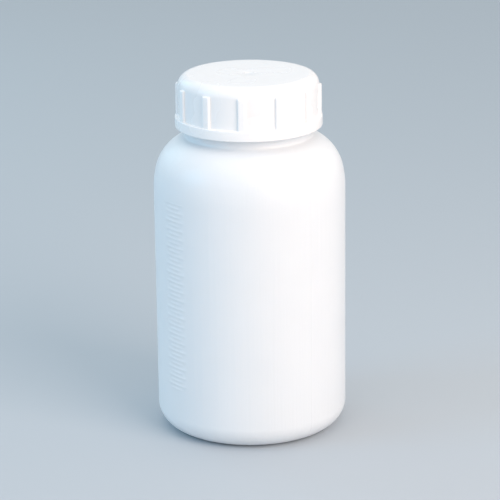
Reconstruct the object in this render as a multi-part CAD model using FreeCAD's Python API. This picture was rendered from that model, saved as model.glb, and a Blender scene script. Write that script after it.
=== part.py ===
import FreeCAD, Part
import math
import os

# Wide-mouth bottle with a ribbed screw cap and a sealing liner, in millimetres.
# The origin is the centre of the base, +Z is up, and the cap is screwed home.

# Bottle body
body_r = 71.0
wall = 1.8
wall_top = 183.7
base_corner_r = 17.2
standing_ring = 5.0
push_up = 3.2
push_up_run = 7.0

# Shoulder, a large arc off the straight wall, a smaller one and a short slope to the neck
shoulder_large_r = 68.8
shoulder_large_turn = 13.0
shoulder_slope = 20.0
slope_run = 1.5

# Neck
neck_r = 46.8
neck_wall = 2.8
neck_height = 41.1
neck_root = 1.6
lip_outer_bevel = 0.8
lip_inner_bevel = 0.4

# Thread, one right-handed helix that the neck and the cap share
pitch = 8.0
neck_turns = 1.75
cap_turns = 1.5
thread_below_lip = 5.5
ridge_foot_width = 4.0
ridge_crest_width = 1.8
ridge_root_depth = 0.5
crest_gap = 0.4
flank_gap = 0.35
thread_start_angle = 20.0
thread_run_out = 14.0

# Cap
cap_wall = 2.2
cap_top_wall = 3.0
cap_corner_r = 8.0
cap_inner_bevel = 3.2
cap_lead_in = 1.0
ridge_height = 2.45
skirt_above_shoulder = 7.1

# Flange round the foot of the cap
flange_out = 2.45
flange_height = 7.7
flange_top_bevel = 0.9
flange_foot_bevel = 0.7

# Grip ribs on the cap
rib_count = 12
rib_width = 5.6
rib_out = 1.85
rib_height = 23.3
rib_bevel = 0.9
first_rib_angle = 24.5

# Sealing liner
liner_thickness = 1.6
liner_gap = 0.15

# Places that follow from the sizes above
mouth_r = neck_r - neck_wall
neck_crest_r = neck_r + ridge_height
bore_r = neck_crest_r + crest_gap
cap_r = bore_r + cap_wall


def point(r, z):
    return FreeCAD.Vector(r, 0, z)


def polar(radius, angle):
    """Step of the given length in the XZ plane, at an angle in degrees from outward."""
    return point(radius * math.cos(math.radians(angle)), radius * math.sin(math.radians(angle)))


def line(start, end):
    return Part.LineSegment(start, end).toShape()


def rounding(centre, radius, start, end):
    """Arc about centre between two angles in degrees, 0 outward and 90 upward."""
    points = [centre + polar(radius, angle) for angle in (start, (start + end) / 2, end)]
    return Part.Arc(*points).toShape()


def revolve(edges):
    """Solid made by turning a closed outline in the XZ plane about the Z axis."""
    outline = Part.Wire(Part.__sortEdges__(edges))
    turned = Part.Face(outline).revolve(FreeCAD.Vector(0, 0, 0), FreeCAD.Vector(0, 0, 1), 360)
    return turned.Solids[0]


def around(radius, angle, z):
    """Point at an angle in degrees round the Z axis, counted from +X."""
    return FreeCAD.Vector(radius * math.cos(math.radians(angle)),
                          radius * math.sin(math.radians(angle)), z)


def run_out(foot_r, crest_r, end_angle, turn, mid_z):
    """Block that takes one end of a ridge down from its crest to its foot over a turn in degrees."""
    low = mid_z - pitch / 2
    foot = around(foot_r, end_angle, low)
    crest = around(crest_r, end_angle + turn, low)
    overshoot = (crest - foot).normalize() * ridge_root_depth
    away = around(2 * (crest_r - foot_r), end_angle, 0)
    start = foot - overshoot
    end = crest + overshoot
    plan = Part.makePolygon([start, end, end + away, start + away, start])
    return Part.Face(plan).extrude(FreeCAD.Vector(0, 0, pitch))


def helical_ridge(foot_r, crest_r, low_z, turns):
    """Thread ridge that rises from low_z, with its foot sunk into the wall at foot_r."""
    outward = math.copysign(1, crest_r - foot_r)
    root_r = foot_r - outward * ridge_root_depth
    slope = (ridge_foot_width - ridge_crest_width) / 2 / abs(crest_r - foot_r)
    half_root = ridge_foot_width / 2 + slope * ridge_root_depth
    half_crest = ridge_crest_width / 2
    corners = [point(root_r, -half_root), point(crest_r, -half_crest),
               point(crest_r, half_crest), point(root_r, half_root)]
    section = Part.makePolygon(corners + corners[:1])
    helix = Part.makeHelix(pitch, pitch * turns, foot_r)
    ridge = Part.Wire(helix.Edges).makePipeShell([section], True, True)
    ridge.rotate(FreeCAD.Vector(0, 0, 0), FreeCAD.Vector(0, 0, 1), thread_start_angle)
    ridge.translate(FreeCAD.Vector(0, 0, low_z))
    end_angle = thread_start_angle + 360 * turns
    top_z = low_z + pitch * turns
    return ridge.cut([run_out(foot_r, crest_r, thread_start_angle, thread_run_out, low_z),
                      run_out(foot_r, crest_r, end_angle, -thread_run_out, top_z)])


def slope_top(inset):
    """Upper end of the shoulder's second arc, with the centres and radius that lead to it."""
    slope_angle = 90 - shoulder_slope
    turn_cos = math.cos(math.radians(shoulder_large_turn))
    slope_cos = math.cos(math.radians(slope_angle))
    run = body_r - neck_r - slope_run - shoulder_large_r * (1 - turn_cos)
    small_r = run / (turn_cos - slope_cos)
    large_centre = point(body_r - shoulder_large_r, wall_top)
    small_centre = large_centre + polar(shoulder_large_r - small_r, shoulder_large_turn)
    end = small_centre + polar(small_r - inset, slope_angle)
    return large_centre, small_centre, small_r, end


def slope_z(inset, r):
    """Height of the sloping stretch by the neck at the radius r."""
    end = slope_top(inset)[3]
    return end.z + (end.x - r) * math.tan(math.radians(shoulder_slope))


shoulder_top = slope_z(0, neck_r)
lip_z = shoulder_top + neck_height
cap_foot = shoulder_top + skirt_above_shoulder
flange_top = cap_foot + flange_height
ceiling = lip_z + liner_thickness
cap_top = ceiling + cap_top_wall
neck_ridge_low_z = lip_z - thread_below_lip - pitch * neck_turns


def flank_offset():
    """Axial step from the neck's ridge down to the cap's ridge when the cap is home."""
    overlap = ridge_height - crest_gap
    slope = (ridge_foot_width - ridge_crest_width) / 2 / ridge_height
    return ridge_crest_width + slope * overlap + flank_gap


def outline(points):
    """Straight edges from each point to the next."""
    return [line(start, end) for start, end in zip(points, points[1:])]


def base_edges(inset):
    """Pushed-up base panel, standing ring and corner, moved inward by inset."""
    ring_outer = body_r - base_corner_r
    ring_inner = ring_outer - standing_ring
    panel = outline([
        point(0, inset + push_up),
        point(ring_inner - push_up_run, inset + push_up),
        point(ring_inner, inset),
        point(ring_outer, inset),
    ])
    return panel + [rounding(point(ring_outer, base_corner_r), base_corner_r - inset, -90, 0)]


def wall_edges(inset, neck_side_r):
    """Straight wall, shoulder and root of the neck, moved inward by inset."""
    large_centre, small_centre, small_r, slope_start = slope_top(inset)
    root_start = neck_side_r + neck_root
    return outline([point(body_r - inset, base_corner_r), point(body_r - inset, wall_top)]) + [
        rounding(large_centre, shoulder_large_r - inset, 0, shoulder_large_turn),
        rounding(small_centre, small_r - inset, shoulder_large_turn, 90 - shoulder_slope),
    ] + outline([
        slope_start,
        point(root_start, slope_z(inset, root_start)),
        point(neck_side_r, slope_z(inset, neck_side_r) + neck_root),
    ])


def bottle():
    """Blown body with its neck, lip and thread, one hollow piece open at the mouth."""
    neck = outline([
        point(neck_r, shoulder_top + neck_root),
        point(neck_r, lip_z - lip_outer_bevel),
        point(neck_r - lip_outer_bevel, lip_z),
        point(mouth_r + lip_inner_bevel, lip_z),
        point(mouth_r, lip_z - lip_inner_bevel),
        point(mouth_r, slope_z(wall, mouth_r) + neck_root),
    ])
    axis = line(point(0, push_up), point(0, push_up + wall))
    outside = base_edges(0) + wall_edges(0, neck_r)
    inside = base_edges(wall) + wall_edges(wall, mouth_r)
    shell = revolve(outside + neck + inside + [axis])
    ridge = helical_ridge(neck_r, neck_crest_r, neck_ridge_low_z, neck_turns)
    return shell.fuse(ridge)


def cap_shell():
    """Turned form of the cap: crown, skirt and flange, open at the foot."""
    flange_r = cap_r + flange_out
    crown_centre = point(cap_r - cap_corner_r, cap_top - cap_corner_r)
    inside_and_top = outline([
        point(bore_r, ceiling - cap_inner_bevel),
        point(bore_r - cap_inner_bevel, ceiling),
        point(0, ceiling),
        point(0, cap_top),
        point(crown_centre.x, cap_top),
    ])
    skirt = outline([
        point(cap_r, crown_centre.z),
        point(cap_r, flange_top),
        point(flange_r - flange_top_bevel, flange_top),
        point(flange_r, flange_top - flange_top_bevel),
        point(flange_r, cap_foot + flange_foot_bevel),
        point(flange_r - flange_foot_bevel, cap_foot),
        point(bore_r + cap_lead_in, cap_foot),
        point(bore_r, cap_foot + cap_lead_in),
        point(bore_r, ceiling - cap_inner_bevel),
    ])
    return revolve(inside_and_top + [rounding(crown_centre, cap_corner_r, 90, 0)] + skirt)


def grip_rib():
    """One rib at the +X side, from inside the skirt and flange to its bevelled upper end."""
    sunk = cap_wall / 2
    corner = FreeCAD.Vector(cap_r - sunk, -rib_width / 2, flange_top - sunk)
    block = Part.makeBox(sunk + rib_out, rib_width, sunk + rib_height, corner)
    outer_edges = [edge for edge in block.Edges
                   if edge.BoundBox.XMin > cap_r + rib_out / 2
                   and edge.BoundBox.ZMax > flange_top + rib_height / 2]
    return block.makeChamfer(rib_bevel, outer_edges)


def screw_cap():
    cap = cap_shell()
    for number in range(rib_count):
        rib = grip_rib()
        rib.rotate(FreeCAD.Vector(0, 0, 0), FreeCAD.Vector(0, 0, 1),
                   first_rib_angle + number * 360 / rib_count)
        cap = cap.fuse(rib)
    ridge = helical_ridge(bore_r, neck_r + crest_gap, neck_ridge_low_z - flank_offset(), cap_turns)
    return cap.fuse(ridge)


def sealing_liner():
    """Flat disc between the lip and the ceiling of the cap, clear of the cap's inner bevel."""
    liner_r = bore_r - cap_inner_bevel - liner_gap
    return Part.makeCylinder(liner_r, liner_thickness, point(0, lip_z))


def main():
    os.makedirs("parts", exist_ok=True)
    pieces = {"bottle": bottle(), "screw_cap": screw_cap(), "sealing_liner": sealing_liner()}
    for name, shape in pieces.items():
        shape.exportStep("parts/" + name + ".step")
        box = shape.BoundBox
        print(name, len(shape.Solids), shape.isValid(), round(shape.Volume / 1000, 2), "cm3",
              "z", round(box.ZMin, 3), round(box.ZMax, 3), "r", round(box.XMax, 3))


main()
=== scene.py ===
import math

import bmesh
import bpy
from mathutils import Matrix, Quaternion, Vector


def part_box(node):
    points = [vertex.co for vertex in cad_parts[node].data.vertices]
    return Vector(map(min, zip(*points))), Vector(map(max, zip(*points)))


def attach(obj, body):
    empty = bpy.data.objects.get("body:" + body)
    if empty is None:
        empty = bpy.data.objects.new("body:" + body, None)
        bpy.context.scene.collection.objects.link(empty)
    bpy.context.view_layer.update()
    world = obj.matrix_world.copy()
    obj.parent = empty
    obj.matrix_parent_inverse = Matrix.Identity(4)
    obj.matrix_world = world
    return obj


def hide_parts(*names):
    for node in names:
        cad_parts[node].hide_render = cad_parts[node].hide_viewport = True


# Looks of a wide-mouth bottle with a ribbed screw cap. Lengths are in metres. Angles are in
# degrees, and those that give a place round the axis are counted from +X towards +Y.

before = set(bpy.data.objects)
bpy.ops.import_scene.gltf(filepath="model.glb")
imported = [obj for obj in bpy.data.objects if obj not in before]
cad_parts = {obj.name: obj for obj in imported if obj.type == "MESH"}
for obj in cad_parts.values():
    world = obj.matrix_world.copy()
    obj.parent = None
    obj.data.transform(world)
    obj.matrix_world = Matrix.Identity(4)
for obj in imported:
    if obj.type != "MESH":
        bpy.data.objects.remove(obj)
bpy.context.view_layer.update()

MM = 0.001


def reach(node):
    """Largest radius that stays inside a turned node's box on all four sides."""
    low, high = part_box(node)
    return min(-low.x, high.x, -low.y, high.y)


# Places taken from the parts' boxes in model.glb
BODY_R = reach("bottle")
LIP_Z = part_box("bottle")[1].z
FLANGE_R = reach("screw_cap")
CAP_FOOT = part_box("screw_cap")[0].z
CAP_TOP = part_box("screw_cap")[1].z
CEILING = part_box("sealing_liner")[1].z

# A skin within TOUCH of a place lies on it, points within MERGE_DISTANCE become one, and an
# edge that bends by more than SHARP_ANGLE is shaded as a crease
TOUCH = 0.01 * MM
MERGE_DISTANCE = 0.002 * MM
SHARP_ANGLE = 35

# Bottle body
WALL = 1.8 * MM
WALL_TOP = 183.7 * MM
BASE_CORNER_R = 17.2 * MM
STANDING_RING = 5.0 * MM
PUSH_UP = 3.2 * MM
PUSH_UP_RUN = 7.0 * MM
RING_ROUNDING = 2.4 * MM
PANEL_ROUNDING = 8.0 * MM
SHOULDER_LARGE_R = 68.8 * MM
SHOULDER_LARGE_TURN = 13.0
SHOULDER_SLOPE = 20.0
SLOPE_RUN = 1.5 * MM
NECK_R = 46.8 * MM
NECK_WALL = 2.8 * MM
NECK_ROOT = 2.2 * MM
LIP_OUTER_ROUNDING = 0.9 * MM
LIP_INNER_ROUNDING = 0.6 * MM
MOUTH_R = NECK_R - NECK_WALL

# Steps along the body's outline, of which the outer skin's tight arcs have twice as many
BASE_PANEL_STEPS = 3
RING_STEPS = 2
BASE_CORNER_STEPS = 9
INNER_WALL_STEPS = 4
LARGE_ARC_STEPS = 6
SMALL_ARC_STEPS = 12
NECK_STEPS = 10

# Raised lines of the volume scale on the wall
SCALE_ANGLE = -141.5
SCALE_STEP = 3.32 * MM
SCALE_TOP = 183.0 * MM
SCALE_COUNT = 44
LONG_LINE_ARC = 15.5
SHORT_LINE_ARC = 9.0
LINE_FOOT = 0.75 * MM
LINE_CREST = 0.3 * MM
LINE_RELIEF = 0.12 * MM

# Mould parting line up both sides, with columns of its own between those of the two halves.
# The middle half of its arc is raised.
PARTING_ANGLE = -51.5
PARTING_ARC = 0.9
PARTING_FOOT = BASE_CORNER_R / 3
PARTING_RELIEF = 0.10 * MM
PARTING_COLUMNS = 6
HALF_COLUMNS = 126

# Thread of the neck and the cap. At both ends the ridge slopes away over the run-out, towards
# a point a little past its end.
PITCH = 8.0 * MM
NECK_TURNS = 1.75
CAP_TURNS = 1.5
THREAD_BELOW_LIP = 5.5 * MM
RIDGE_HEIGHT = 2.45 * MM
RIDGE_FOOT = 4.0 * MM
RIDGE_CREST = 1.8 * MM
RIDGE_SUNK = 0.5 * MM
RIDGE_ROUNDING = 0.55 * MM
CREST_GAP = 0.4 * MM
FLANK_GAP = 0.35 * MM
THREAD_START = 20.0
THREAD_RUN_OUT = 24.0
THREAD_PAST_END = 6.0
COLUMNS_PER_TURN = 120
NECK_RIDGE_LOW = LIP_Z - THREAD_BELOW_LIP - PITCH * NECK_TURNS

# Cap
CAP_WALL = 2.2 * MM
BORE_R = NECK_R + RIDGE_HEIGHT + CREST_GAP
CAP_R = BORE_R + CAP_WALL
CAP_CORNER_R = 8.0 * MM
CAP_INNER_ROUNDING = 3.2 * MM
CAP_LEAD_IN = 1.0 * MM
FLANGE_HEIGHT = 7.7 * MM
FLANGE_ROUNDING = 0.55 * MM
FLANGE_FOOT_ROUNDING = 0.8 * MM
LEDGE_FILLET = 0.5 * MM
GATE_R = 2.4 * MM
GATE_DEPTH = 0.35 * MM
FLANGE_TOP = CAP_FOOT + FLANGE_HEIGHT
CROWN_FOOT = CAP_TOP - CAP_CORNER_R

# Steps along the cap's outline
CROWN_STEPS = 4
CAP_CORNER_STEPS = 15
SKIRT_STEPS = 8
FLANGE_STEPS = 2
BORE_STEPS = 10

# Grip ribs on the cap
RIB_COUNT = 12
RIB_WIDTH = 5.6 * MM
RIB_OUT = 1.85 * MM
RIB_HEIGHT = 23.3 * MM
RIB_ROUNDING = 0.9 * MM
RIB_FILLET = 0.6 * MM
FIRST_RIB_ANGLE = 24.5
RIB_TOP = FLANGE_TOP + RIB_HEIGHT

# Columns across a rib's crest and across half the panel between two ribs
RIB_CREST_COLUMNS = 4
HALF_PANEL_COLUMNS = 9

# Lengths and steps of a rib's edge, from the wall through the fillet and the steep flank to
# the rounding and the crest. Fillet and rounding are gentle away from the flank.
RIB_FLANK = 0.04 * MM
FILLET_GENTLE = 0.6
ROUNDING_GENTLE = 0.7
RIB_RISE = [(RIB_FILLET * FILLET_GENTLE, 2),
            (RIB_FILLET * (1 - FILLET_GENTLE) - RIB_FLANK / 2, 3),
            (RIB_FLANK, 1),
            (RIB_ROUNDING * (1 - ROUNDING_GENTLE) - RIB_FLANK / 2, 3),
            (RIB_ROUNDING * ROUNDING_GENTLE, 4)]

# Plastic. A noise's values lie mostly in NOISE_RANGE. Streaks are noise that is squeezed round
# the piece and stretched along its axis. LIGHT_SPREAD is how far red, green and blue light
# spread under the skin, as shares of the depth.
NOISE_RANGE = (0.3, 0.7)
STREAK_SQUEEZE = (9, 9, 0.22)
PLASTIC_IOR = 1.5
LIGHT_SPREAD = (1, 0.95, 0.9)

# Floor
FLOOR_SIZE = 9
FLOOR_COLOUR = (0.50, 0.54, 0.58)
FLOOR_ROUGHNESS = 0.7

# Camera, with its lens and sensor in millimetres, and the point that it and the lights face
AIM = Vector((-0.26 * MM, 0, 133.74 * MM))
CAMERA_ELEVATION = 17.07
CAMERA_DISTANCE = 1.7276
CAMERA_ROLL = -0.71
CAMERA_LENS = 166.4
CAMERA_SENSOR = 36


# Outlines, drawn in the XZ plane and turned about the Z axis

def pen_at(bm, r, z):
    return bm.verts.new((r, 0, z))


def draw_line(bm, pen, r, z, steps=1):
    """Carries the outline straight on from pen, and returns its new end."""
    start = pen.co.copy()
    for step in range(1, steps + 1):
        pen = bmesh.ops.extrude_vert_indiv(bm, verts=[pen])["verts"][0]
        pen.co = start.lerp(Vector((r, 0, z)), step / steps)
    return pen


def draw_arc(bm, pen, centre, turn, steps):
    """Carries the outline round centre, anticlockwise for a positive turn."""
    spun = bmesh.ops.spin(bm, geom=[pen], cent=centre, axis=(0, -1, 0),
                          angle=math.radians(turn), steps=steps)
    return next(item for item in spun["geom_last"] if isinstance(item, bmesh.types.BMVert))


def round_corner(bm, corner, radius, segments=5):
    """Rounds one vertex of the outline, tangent to both its edges."""
    legs = [edge.other_vert(corner).co - corner.co for edge in corner.link_edges]
    offset = radius / math.tan(legs[0].angle(legs[1]) / 2)
    bmesh.ops.bevel(bm, geom=[corner], affect="VERTICES", offset=offset, segments=segments,
                    profile=0.5, material=-1)


def turn_to(bm, degrees):
    """Turns everything drawn so far about Z."""
    bmesh.ops.rotate(bm, verts=bm.verts, cent=(0, 0, 0),
                     matrix=Matrix.Rotation(math.radians(degrees), 3, "Z"))


def sweep_outline(bm, sections):
    """Sweeps the whole outline about Z through sections of (degrees, columns)."""
    last = bm.verts[:] + bm.edges[:]
    for degrees, columns in sections:
        spun = bmesh.ops.spin(bm, geom=last, cent=(0, 0, 0), axis=(0, 0, 1),
                              angle=math.radians(degrees), steps=columns)
        last = spun["geom_last"]


def close_seams(bm):
    bmesh.ops.remove_doubles(bm, verts=bm.verts, dist=MERGE_DISTANCE)
    bmesh.ops.recalc_face_normals(bm, faces=bm.faces)


# Places on a turned skin

def off_axis(co):
    return math.hypot(co.x, co.y)


def polar_angle(co):
    return math.degrees(math.atan2(co.y, co.x))


def angle_apart(first, second):
    return abs((first - second + 180) % 360 - 180)


def push_out(co, distance):
    """Moves a point away from the Z axis."""
    r = off_axis(co)
    co.x *= (r + distance) / r
    co.y *= (r + distance) / r


def ramp(value, full, zero):
    """Smooth step that is 1 at full and 0 at zero."""
    share = min(max((value - zero) / (full - zero), 0), 1)
    return share * share * (3 - 2 * share)


# Objects

def add_object(name, data):
    obj = bpy.data.objects.new(name, data)
    bpy.context.scene.collection.objects.link(obj)
    return obj


def mesh_object(name, bm):
    """Makes an object at the origin of a mesh that is ready."""
    mesh = bpy.data.meshes.new(name)
    bm.to_mesh(mesh)
    bm.free()
    return add_object(name, mesh)


def piece(name, bm, body, material, node):
    """Makes an object of the mesh, and says what it rides on, replaces and is made of."""
    obj = mesh_object(name, bm)
    obj.data.shade_smooth()
    obj.data.set_sharp_from_angle(angle=math.radians(SHARP_ANGLE))
    obj.data.materials.append(material)
    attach(obj, body)
    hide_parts(node)


def sort_by_place(elements, place):
    """Puts a mesh's elements in an order that depends only on where they are."""
    for index, element in enumerate(sorted(elements, key=lambda item: place(item)[:])):
        element.index = index
    elements.sort()


def weld(bm, ridge):
    """Joins a closed ridge to the closed wall that it stands on, as one skin."""
    solids = [mesh_object("weld", source) for source in (bm, ridge)]
    union = solids[0].modifiers.new("union", "BOOLEAN")
    union.operation = "UNION"
    union.solver = "MANIFOLD"
    union.object = solids[1]
    bpy.context.view_layer.update()
    result = solids[0].evaluated_get(bpy.context.evaluated_depsgraph_get())
    joined = bmesh.new()
    joined.from_mesh(result.to_mesh())
    result.to_mesh_clear()
    for solid in solids:
        mesh = solid.data
        bpy.data.objects.remove(solid)
        bpy.data.meshes.remove(mesh)
    sort_by_place(joined.verts, lambda vert: vert.co)
    sort_by_place(joined.faces, lambda face: face.calc_center_median())
    return joined


# Bottle

def shoulder_arcs(inset):
    """Centres of the shoulder's large arc and of the smaller one that goes on from it."""
    slope_angle = 90 - SHOULDER_SLOPE
    turn = math.radians(SHOULDER_LARGE_TURN)
    run = BODY_R - NECK_R - SLOPE_RUN - SHOULDER_LARGE_R * (1 - math.cos(turn))
    small_r = run / (math.cos(turn) - math.cos(math.radians(slope_angle)))
    large_centre = Vector((BODY_R - SHOULDER_LARGE_R, 0, WALL_TOP))
    step = SHOULDER_LARGE_R - small_r
    small_centre = large_centre + Vector((step * math.cos(turn), 0, step * math.sin(turn)))
    return large_centre, small_centre


def scale_heights():
    """Heights of the scale's lines, from the top one down."""
    return [SCALE_TOP - number * SCALE_STEP for number in range(SCALE_COUNT)]


def draw_scale(bm, pen):
    """Carries the outer wall's outline up through the levels that the scale's lines need."""
    half_foot, half_crest = LINE_FOOT / 2, LINE_CREST / 2
    pen = draw_line(bm, pen, BODY_R, scale_heights()[-1] - LINE_FOOT)
    for z in reversed(scale_heights()):
        for edge in (-half_foot, -half_crest, half_crest, half_foot):
            pen = draw_line(bm, pen, BODY_R, z + edge)
    return pen


def draw_body(bm, inset, neck_side_r):
    """Draws the base, wall and shoulder, moved inward by inset, and returns the neck's root."""
    outer = inset == 0
    fineness = 2 if outer else 1
    ring_outer = BODY_R - BASE_CORNER_R
    ring_inner = ring_outer - STANDING_RING
    panel_z = PUSH_UP + inset
    pen = pen_at(bm, 0, panel_z)
    panel_edge = draw_line(bm, pen, ring_inner - PUSH_UP_RUN, panel_z, BASE_PANEL_STEPS)
    ring_edge = draw_line(bm, panel_edge, ring_inner, inset)
    pen = draw_line(bm, ring_edge, ring_outer, inset, RING_STEPS)
    pen = draw_arc(bm, pen, (ring_outer, 0, BASE_CORNER_R), 90, BASE_CORNER_STEPS * fineness)
    if outer:
        pen = draw_scale(bm, pen)
    pen = draw_line(bm, pen, BODY_R - inset, WALL_TOP, 1 if outer else INNER_WALL_STEPS)
    large_centre, small_centre = shoulder_arcs(inset)
    small_turn = 90 - SHOULDER_SLOPE - SHOULDER_LARGE_TURN
    pen = draw_arc(bm, pen, large_centre, SHOULDER_LARGE_TURN, LARGE_ARC_STEPS)
    pen = draw_arc(bm, pen, small_centre, small_turn, SMALL_ARC_STEPS * fineness)
    fall = math.tan(math.radians(SHOULDER_SLOPE))
    root_z = pen.co.z + (pen.co.x - neck_side_r) * fall
    root = draw_line(bm, pen, neck_side_r, root_z)
    round_corner(bm, panel_edge, PANEL_ROUNDING)
    round_corner(bm, ring_edge, RING_ROUNDING)
    return root


def raise_scale(bm):
    """Lifts the scale's lines out of the outer wall, every other one longer."""
    heights = scale_heights()
    between_crest_and_foot = (LINE_CREST + LINE_FOOT) / 4
    for vert in bm.verts:
        co = vert.co
        number = round((SCALE_TOP - co.z) / SCALE_STEP)
        if off_axis(co) < BODY_R - TOUCH or not 0 <= number < SCALE_COUNT:
            continue
        arc = LONG_LINE_ARC if number % 2 == 0 else SHORT_LINE_ARC
        on_crest = abs(co.z - heights[number]) < between_crest_and_foot
        if on_crest and angle_apart(polar_angle(co), SCALE_ANGLE) < arc / 2:
            push_out(co, LINE_RELIEF)


def raise_parting_line(bm):
    """Lifts a fine line where the mould's halves met, from the base's corner to the neck."""
    bm.normal_update()
    lifted = []
    for vert in bm.verts:
        co = vert.co
        from_line = min(angle_apart(polar_angle(co), PARTING_ANGLE),
                        angle_apart(polar_angle(co), PARTING_ANGLE + 180))
        outside = vert.normal.x * co.x + vert.normal.y * co.y > 0
        on_side = co.z > PARTING_FOOT and off_axis(co) > NECK_R + NECK_ROOT
        if outside and on_side and from_line < PARTING_ARC / 4:
            lifted.append(vert)
    for vert in lifted:
        vert.co += vert.normal * PARTING_RELIEF


def thread_ridge(foot_r, crest_r, low_z, turns):
    """Closed ridge of a right-handed thread that dies away into its wall at both ends."""
    outward = math.copysign(1, crest_r - foot_r)
    root_r = foot_r - outward * RIDGE_SUNK
    slope = (RIDGE_FOOT - RIDGE_CREST) / 2 / abs(crest_r - foot_r)
    half_root = RIDGE_FOOT / 2 + slope * RIDGE_SUNK
    bm = bmesh.new()
    first = pen_at(bm, root_r, low_z - half_root)
    low_crest = draw_line(bm, first, crest_r, low_z - RIDGE_CREST / 2)
    high_crest = draw_line(bm, low_crest, crest_r, low_z + RIDGE_CREST / 2)
    last = draw_line(bm, high_crest, root_r, low_z + half_root)
    bm.edges.new((last, first))
    for corner in (low_crest, high_crest):
        round_corner(bm, corner, RIDGE_ROUNDING, segments=4)

    ring = len(bm.verts)
    section = bm.verts[:] + bm.edges[:]
    bmesh.ops.contextual_create(bm, geom=bm.edges[:])
    whole_turn = 360 * turns
    columns = round(turns * COLUMNS_PER_TURN)
    spun = bmesh.ops.spin(bm, geom=section, cent=(0, 0, 0), axis=(0, 0, 1),
                          dvec=(0, 0, PITCH * turns / columns),
                          angle=math.radians(whole_turn), steps=columns)
    last_edges = [item for item in spun["geom_last"] if isinstance(item, bmesh.types.BMEdge)]
    bmesh.ops.contextual_create(bm, geom=last_edges)

    bm.verts.index_update()
    for vert in bm.verts:
        swept = (vert.index // ring) * whole_turn / columns
        to_end = min(swept, whole_turn - swept)
        height = ramp(to_end, THREAD_RUN_OUT, -THREAD_PAST_END)
        push_out(vert.co, (root_r - off_axis(vert.co)) * (1 - height))
    turn_to(bm, THREAD_START)
    bmesh.ops.recalc_face_normals(bm, faces=bm.faces)
    return bm


def bottle_skin():
    """Blown body inside and out, with its neck, lip, scale, parting line and thread."""
    bm = bmesh.new()
    outer_root = draw_body(bm, 0, NECK_R)
    inner_root = draw_body(bm, WALL, MOUTH_R)
    lip_outer = draw_line(bm, outer_root, NECK_R, LIP_Z, NECK_STEPS)
    lip_inner = draw_line(bm, lip_outer, MOUTH_R, LIP_Z)
    bm.edges.new((lip_inner, inner_root))
    round_corner(bm, outer_root, NECK_ROOT)
    round_corner(bm, inner_root, NECK_ROOT)
    round_corner(bm, lip_outer, LIP_OUTER_ROUNDING)
    round_corner(bm, lip_inner, LIP_INNER_ROUNDING)
    turn_to(bm, PARTING_ANGLE - PARTING_ARC / 2)
    half = [(PARTING_ARC, PARTING_COLUMNS), (180 - PARTING_ARC, HALF_COLUMNS)]
    sweep_outline(bm, half + half)
    close_seams(bm)
    raise_scale(bm)
    raise_parting_line(bm)
    return weld(bm, thread_ridge(NECK_R, NECK_R + RIDGE_HEIGHT, NECK_RIDGE_LOW, NECK_TURNS))


# Cap

def rib_share(beyond):
    """Share of the rib's height at a distance beyond its edge, rounded at crest and root."""
    if beyond < -RIB_ROUNDING:
        return 1
    if beyond < 0:
        drop = beyond + RIB_ROUNDING
        return 1 - (RIB_ROUNDING - math.sqrt(max(RIB_ROUNDING ** 2 - drop ** 2, 0))) / RIB_OUT
    rise = max(RIB_FILLET - beyond, 0)
    return (RIB_FILLET - math.sqrt(max(RIB_FILLET ** 2 - rise ** 2, 0))) / RIB_OUT


def raise_ribs(bm):
    """Pushes the rib out of one sector of the skirt and into the flange's ledge."""
    ledge_r = FLANGE_R - FLANGE_ROUNDING
    for vert in bm.verts:
        co = vert.co
        r = off_axis(co)
        if co.z < FLANGE_TOP - TOUCH or not BORE_R + TOUCH < r < ledge_r:
            continue
        across = math.radians(angle_apart(polar_angle(co), FIRST_RIB_ANGLE)) * CAP_R
        height = rib_share(across - RIB_WIDTH / 2) * rib_share(co.z - RIB_TOP)
        push_out(co, RIB_OUT * height * min((ledge_r - r) / (ledge_r - CAP_R), 1))


def rib_sections():
    """Sections of (degrees, columns) across one sector, close together at the rib's edges."""
    def degrees(length):
        return math.degrees(length / CAP_R)
    rise = [(degrees(length), columns) for length, columns in RIB_RISE]
    crest = degrees(RIB_WIDTH - 2 * RIB_ROUNDING)
    half_panel = (360 / RIB_COUNT - degrees(RIB_WIDTH + 2 * RIB_FILLET)) / 2
    beside = [(half_panel, HALF_PANEL_COLUMNS)]
    return beside + rise + [(crest, RIB_CREST_COLUMNS)] + rise[::-1] + beside


def draw_side(bm, pen, z, steps):
    """Carries the cap's outline down the crown's round corner and the skirt to a height."""
    def corner_angle(height):
        return math.degrees(math.asin(min(max(height - CROWN_FOOT, 0) / CAP_CORNER_R, 1)))
    if pen.co.z > CROWN_FOOT + TOUCH:
        centre = (CAP_R - CAP_CORNER_R, 0, CROWN_FOOT)
        pen = draw_arc(bm, pen, centre, corner_angle(z) - corner_angle(pen.co.z), steps)
    if z < CROWN_FOOT:
        pen = draw_line(bm, pen, CAP_R, z, steps)
    return pen


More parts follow.
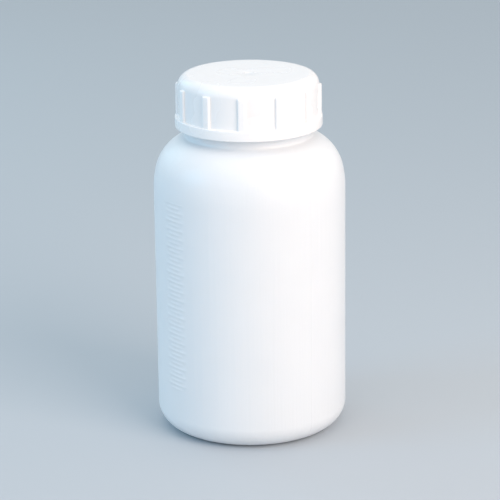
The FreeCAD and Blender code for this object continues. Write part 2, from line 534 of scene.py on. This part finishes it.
def draw_cap(bm):
    """Draws the cap from the gate mark over the side, the flange and the bore to the ceiling."""
    pen = pen_at(bm, 0, CAP_TOP - GATE_DEPTH)
    gate_foot = draw_line(bm, pen, GATE_R - GATE_DEPTH, CAP_TOP - GATE_DEPTH)
    gate_edge = draw_line(bm, gate_foot, GATE_R, CAP_TOP)
    pen = draw_line(bm, gate_edge, CAP_R - CAP_CORNER_R, CAP_TOP, CROWN_STEPS)
    z = RIB_TOP + RIB_FILLET
    pen = draw_side(bm, pen, z, CAP_CORNER_STEPS)
    for length, steps in RIB_RISE:
        z -= length
        pen = draw_side(bm, pen, z, steps)
    ledge_root = draw_line(bm, pen, CAP_R, FLANGE_TOP, SKIRT_STEPS)
    flange_edge = draw_line(bm, ledge_root, FLANGE_R, FLANGE_TOP)
    flange_foot = draw_line(bm, flange_edge, FLANGE_R, CAP_FOOT, FLANGE_STEPS)
    foot_edge = draw_line(bm, flange_foot, BORE_R + CAP_LEAD_IN, CAP_FOOT, FLANGE_STEPS)
    pen = draw_line(bm, foot_edge, BORE_R, CAP_FOOT + CAP_LEAD_IN)
    ceiling_corner = draw_line(bm, pen, BORE_R, CEILING, BORE_STEPS)
    draw_line(bm, ceiling_corner, 0, CEILING, CROWN_STEPS)
    round_corner(bm, gate_foot, GATE_DEPTH / 2, segments=2)
    round_corner(bm, gate_edge, GATE_DEPTH, segments=3)
    round_corner(bm, ledge_root, LEDGE_FILLET)
    round_corner(bm, flange_edge, FLANGE_ROUNDING)
    round_corner(bm, flange_foot, FLANGE_FOOT_ROUNDING)
    round_corner(bm, ceiling_corner, CAP_INNER_ROUNDING)


def cap_ridge_low():
    """Height at which the cap's ridge starts, just below the flank of the neck's ridge."""
    overlap = RIDGE_HEIGHT - CREST_GAP
    slope = (RIDGE_FOOT - RIDGE_CREST) / 2 / RIDGE_HEIGHT
    return NECK_RIDGE_LOW - (RIDGE_CREST + slope * overlap + FLANK_GAP)


def cap_skin():
    """Cap inside and out: one sector with its rib, repeated all round, and the thread."""
    bm = bmesh.new()
    draw_cap(bm)
    half_sector = 180 / RIB_COUNT
    turn_to(bm, FIRST_RIB_ANGLE - half_sector)
    sweep_outline(bm, rib_sections())
    raise_ribs(bm)
    sector = bm.verts[:] + bm.edges[:] + bm.faces[:]
    bmesh.ops.spin(bm, geom=sector, cent=(0, 0, 0), axis=(0, 0, 1), use_duplicate=True,
                   angle=math.radians(360 - 2 * half_sector), steps=RIB_COUNT - 1)
    close_seams(bm)
    return weld(bm, thread_ridge(BORE_R, NECK_R + CREST_GAP, cap_ridge_low(), CAP_TURNS))


# Materials

def new_material(name, colour):
    material = bpy.data.materials.new(name)
    material.use_nodes = True
    shader = material.node_tree.nodes["Principled BSDF"]
    shader.inputs["Base Color"].default_value = (*colour, 1)
    return material, shader


def new_group(name, inputs, outputs):
    """Empty node group with sockets of (name, kind), and its inner and outer ends."""
    group = bpy.data.node_groups.new(name, "ShaderNodeTree")
    for socket, kind in inputs:
        group.interface.new_socket(socket, in_out="INPUT", socket_type=kind)
    for socket, kind in outputs:
        group.interface.new_socket(socket, in_out="OUTPUT", socket_type=kind)
    return group, group.nodes.new("NodeGroupInput"), group.nodes.new("NodeGroupOutput")


def moulded_skin_group():
    """Relief and sheen of moulded plastic: a fine grain, a slow waviness and drawn streaks."""
    group, inside, outside = new_group(
        "moulded_skin",
        [("Place", "NodeSocketVector"), ("Grain Scale", "NodeSocketFloat"),
         ("Grain Share", "NodeSocketFloat"), ("Wave Scale", "NodeSocketFloat"),
         ("Streak Share", "NodeSocketFloat")],
        [("Relief", "NodeSocketFloat"), ("Sheen", "NodeSocketFloat"),
         ("Cloud", "NodeSocketFloat")])
    link = group.links.new
    place = inside.outputs["Place"]
    wave_scale = inside.outputs["Wave Scale"]

    def noise(scale, detail, vector):
        node = group.nodes.new("ShaderNodeTexNoise")
        node.inputs["Detail"].default_value = detail
        link(scale, node.inputs["Scale"])
        link(vector, node.inputs["Vector"])
        return node.outputs["Fac"]

    def mix(share, first, second):
        node = group.nodes.new("ShaderNodeMix")
        link(share, node.inputs["Factor"])
        link(first, node.inputs["A"])
        link(second, node.inputs["B"])
        return node.outputs["Result"]

    squeeze = group.nodes.new("ShaderNodeMapping")
    squeeze.inputs["Scale"].default_value = STREAK_SQUEEZE
    link(place, squeeze.inputs["Vector"])
    grain = noise(inside.outputs["Grain Scale"], detail=3, vector=place)
    wave = noise(wave_scale, detail=1, vector=place)
    streak = noise(wave_scale, detail=2, vector=squeeze.outputs["Vector"])

    slow = mix(inside.outputs["Streak Share"], wave, streak)
    link(mix(inside.outputs["Grain Share"], slow, grain), outside.inputs["Relief"])
    link(slow, outside.inputs["Sheen"])
    link(wave, outside.inputs["Cloud"])
    return group


def two_tones(tree, shader, share, tones):
    """Makes the colour drift from the first tone to the second as share grows."""
    blend = tree.nodes.new("ShaderNodeMix")
    blend.data_type = "RGBA"
    for socket, tone in zip("AB", tones):
        blend.inputs[socket].default_value = (*tone, 1)
    tree.links.new(share, blend.inputs["Factor"])
    tree.links.new(blend.outputs["Result"], shader.inputs["Base Color"])


def fine_relief(tree, shader, height, strength, distance):
    """Bumps the surface by a height that varies over it."""
    bump = tree.nodes.new("ShaderNodeBump")
    bump.inputs["Strength"].default_value = strength
    bump.inputs["Distance"].default_value = distance
    tree.links.new(height, bump.inputs["Height"])
    tree.links.new(bump.outputs["Normal"], shader.inputs["Normal"])


def plastic(name, tones, roughness, grain, grain_share, wave, streaks, relief,
            translucence, depth):
    """Moulded plastic: its colour drifts between two tones, and its gloss and relief vary."""
    material, shader = new_material(name, tones[0])
    tree = material.node_tree
    place = tree.nodes.new("ShaderNodeTexCoord")
    skin = tree.nodes.new("ShaderNodeGroup")
    skin.node_tree = MOULDED_SKIN
    skin.inputs["Grain Scale"].default_value = grain
    skin.inputs["Grain Share"].default_value = grain_share
    skin.inputs["Wave Scale"].default_value = wave
    skin.inputs["Streak Share"].default_value = streaks
    tree.links.new(place.outputs["Object"], skin.inputs["Place"])

    gloss = tree.nodes.new("ShaderNodeMapRange")
    for end, (noise, rough) in zip(("Min", "Max"), zip(NOISE_RANGE, roughness)):
        gloss.inputs["From " + end].default_value = noise
        gloss.inputs["To " + end].default_value = rough
    tree.links.new(skin.outputs["Sheen"], gloss.inputs["Value"])
    tree.links.new(gloss.outputs["Result"], shader.inputs["Roughness"])

    two_tones(tree, shader, skin.outputs["Cloud"], tones)
    fine_relief(tree, shader, skin.outputs["Relief"], strength=1, distance=relief)
    shader.inputs["IOR"].default_value = PLASTIC_IOR
    shader.inputs["Subsurface Weight"].default_value = translucence
    shader.inputs["Subsurface Radius"].default_value = LIGHT_SPREAD
    shader.inputs["Subsurface Scale"].default_value = depth
    return material


def foam(name, colour, tones, roughness, cells, dimple_strength, dimple_depth):
    """Closed-cell foam: small round cells that dimple its face, and painted shade at their rims.
    """
    material, shader = new_material(name, colour)
    tree = material.node_tree
    place = tree.nodes.new("ShaderNodeTexCoord")
    pattern = tree.nodes.new("ShaderNodeTexVoronoi")
    pattern.inputs["Scale"].default_value = cells
    tree.links.new(place.outputs["Object"], pattern.inputs["Vector"])
    # Painted shade of the cells: the colour darkens with the distance from each cell's middle
    two_tones(tree, shader, pattern.outputs["Distance"], tones)
    fine_relief(tree, shader, pattern.outputs["Distance"], dimple_strength, dimple_depth)
    shader.inputs["Roughness"].default_value = roughness
    return material


MOULDED_SKIN = moulded_skin_group()
BOTTLE_PLASTIC = plastic("bottle_plastic", [(0.88, 0.895, 0.915), (0.84, 0.86, 0.885)],
                         roughness=(0.30, 0.42), grain=1400, grain_share=0.10, wave=24,
                         streaks=0.45, relief=0.35 * MM, translucence=0.35, depth=4 * MM)
CAP_PLASTIC = plastic("cap_plastic", [(0.95, 0.93, 0.925), (0.93, 0.91, 0.91)],
                      roughness=(0.22, 0.30), grain=1200, grain_share=0.01, wave=40,
                      streaks=0.05, relief=0.07 * MM, translucence=0.25, depth=3 * MM)
LINER_FOAM = foam("foam", (0.84, 0.83, 0.79), [(0.86, 0.85, 0.81), (0.76, 0.75, 0.71)],
                  roughness=0.75, cells=1500, dimple_strength=0.6, dimple_depth=0.2 * MM)

piece("bottle_shell", bottle_skin(), "bottle", BOTTLE_PLASTIC, "bottle")
piece("cap_shell", cap_skin(), "cap", CAP_PLASTIC, "screw_cap")

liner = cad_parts["sealing_liner"]
liner.data.materials.clear()
liner.data.materials.append(LINER_FOAM)


# Floor, light and camera

def floor():
    bm = bmesh.new()
    bmesh.ops.create_grid(bm, x_segments=2, y_segments=2, size=FLOOR_SIZE)
    obj = mesh_object("floor", bm)
    material, shader = new_material("floor", FLOOR_COLOUR)
    shader.inputs["Roughness"].default_value = FLOOR_ROUGHNESS
    obj.data.materials.append(material)


def face_bottle(obj, azimuth, elevation, distance, roll=0):
    """Sets an object to face the bottle's middle, with azimuth 0 at the camera and 90 at +X."""
    side, rise = math.radians(azimuth), math.radians(elevation)
    away = Vector((math.sin(side) * math.cos(rise), -math.cos(side) * math.cos(rise),
                   math.sin(rise)))
    tilt = Quaternion((0, 0, 1), math.radians(roll))
    obj.location = AIM + away * distance
    obj.rotation_mode = "QUATERNION"
    obj.rotation_quaternion = away.to_track_quat("Z", "Y") @ tilt


def softbox(name, azimuth, elevation, distance, size, power, colour):
    """Square area light that faces the middle of the bottle."""
    data = bpy.data.lights.new(name, "AREA")
    data.shape = "SQUARE"
    data.size = size
    data.energy = power
    data.color = colour
    face_bottle(add_object(name, data), azimuth, elevation, distance)


def camera():
    """Camera at the photographed view, with the photograph's slight tilt."""
    data = bpy.data.cameras.new("camera")
    data.sensor_width = CAMERA_SENSOR
    data.lens = CAMERA_LENS
    obj = add_object("camera", data)
    face_bottle(obj, 0, CAMERA_ELEVATION, CAMERA_DISTANCE, CAMERA_ROLL)
    bpy.context.scene.camera = obj


def room_light(colour, strength):
    world = bpy.data.worlds.new("room")
    world.use_nodes = True
    background = world.node_tree.nodes["Background"]
    background.inputs["Color"].default_value = (*colour, 1)
    background.inputs["Strength"].default_value = strength
    bpy.context.scene.world = world


floor()
softbox("key", azimuth=42, elevation=28, distance=1.7, size=1.1, power=19.5,
        colour=(1, 0.83, 0.73))
softbox("overhead", azimuth=-60, elevation=80, distance=1.8, size=1.5, power=4.5,
        colour=(1, 0.78, 0.68))
softbox("left_fill", azimuth=-75, elevation=24, distance=2.6, size=1.2, power=13.5,
        colour=(0.12, 0.6, 1))
softbox("rim", azimuth=-135, elevation=25, distance=1.9, size=0.9, power=3,
        colour=(0.45, 0.85, 1))
room_light(colour=(0.86, 0.935, 0.98), strength=0.77)
bpy.context.scene.view_settings.view_transform = "Standard"
camera()
